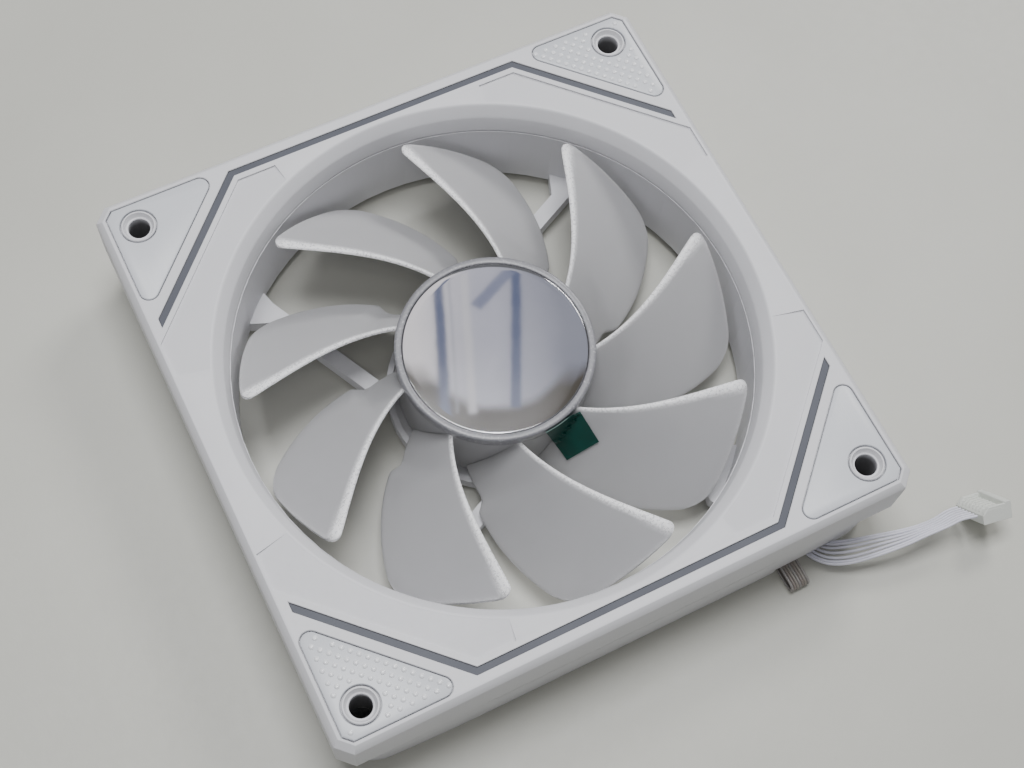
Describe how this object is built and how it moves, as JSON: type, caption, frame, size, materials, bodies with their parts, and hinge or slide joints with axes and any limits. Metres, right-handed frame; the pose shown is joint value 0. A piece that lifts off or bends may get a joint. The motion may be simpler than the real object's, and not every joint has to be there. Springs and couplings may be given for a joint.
{
  "type": "computer case fan",
  "caption": "Square computer case fan with swept blades, mirrored hub cap, light strips in its front face, screw holes in its corners and a flat ribbon cable with a plug.",
  "frame": {"origin": "centre of the fan's axis at the level of the rear foot pads", "axes": "+Z along the fan's axis towards the front face with the mirrored hub cap, -Y towards the side where the cable leaves, +X towards the cable's plug"},
  "size_m": [0.1409, 0.1311, 0.025],
  "materials": {
    "cover_white": "fine matte moulding",
    "frame_white": "fine matte moulding",
    "pad_grey": "satin, with fine dots or brushing",
    "foot_rubber": "matte",
    "strip_slate": "glossy diffuser",
    "board_green": "solder mask",
    "sticker_green": "satin film",
    "label_silver": "plain foil label",
    "motor_steel": "turned steel",
    "bronze": "sintered bronze",
    "insulator_white": "moulded nylon",
    "coil_copper": "enamelled copper winding",
    "ferrite": "bonded magnet",
    "blade_frosted": "frosted translucent",
    "ring_clear": "polished translucent",
    "mirror": "mirror",
    "wire_lavender": "satin wire jacket",
    "wire_grey": "satin wire jacket",
    "nylon_white": "moulded nylon"
  },
  "bodies": {
    "frame": {"front_cover": "cover_white", "corner_pad_1": "pad_grey", "corner_pad_2": "pad_grey", "corner_pad_3": "pad_grey", "corner_pad_4": "pad_grey", "foot_pad_1": "foot_rubber", "foot_pad_2": "foot_rubber", "foot_pad_3": "foot_rubber", "foot_pad_4": "foot_rubber", "light_strip_upper": "strip_slate", "light_strip_lower": "strip_slate", "led_board_upper": "board_green", "led_board_lower": "board_green", "rear_frame": "frame_white", "corner_sticker": "sticker_green", "rear_label": "label_silver", "motor_board": "board_green", "bearing_sleeve": "bronze", "thrust_washer": "insulator_white", "bearing_cap": "insulator_white", "stator_insulator_lower": "insulator_white", "stator_insulator_upper": "insulator_white", "stator_core": "motor_steel", "stator_coil_1": "coil_copper", "stator_coil_2": "coil_copper", "stator_coil_3": "coil_copper", "stator_coil_4": "coil_copper", "ribbon_inner": "wire_lavender", "ribbon_cable": "wire_lavender", "ribbon_loop": "wire_grey", "connector": "nylon_white", "cable_retainer": "frame_white"},
    "rotor": {"impeller": "blade_frosted", "hub_ring": "ring_clear", "mirror_cap": "mirror", "rotor_yoke": "motor_steel", "magnet_ring": "ferrite", "retaining_clip": "motor_steel", "shaft": "motor_steel", "blade_sticker": "sticker_green"}
  },
  "joints": [
    {"name": "rotor_spin", "type": "hinge", "parent": "frame", "child": "rotor", "pos_m": [0, 0, 0.01], "axis": [0, 0, 1], "continuous": true}
  ]
}
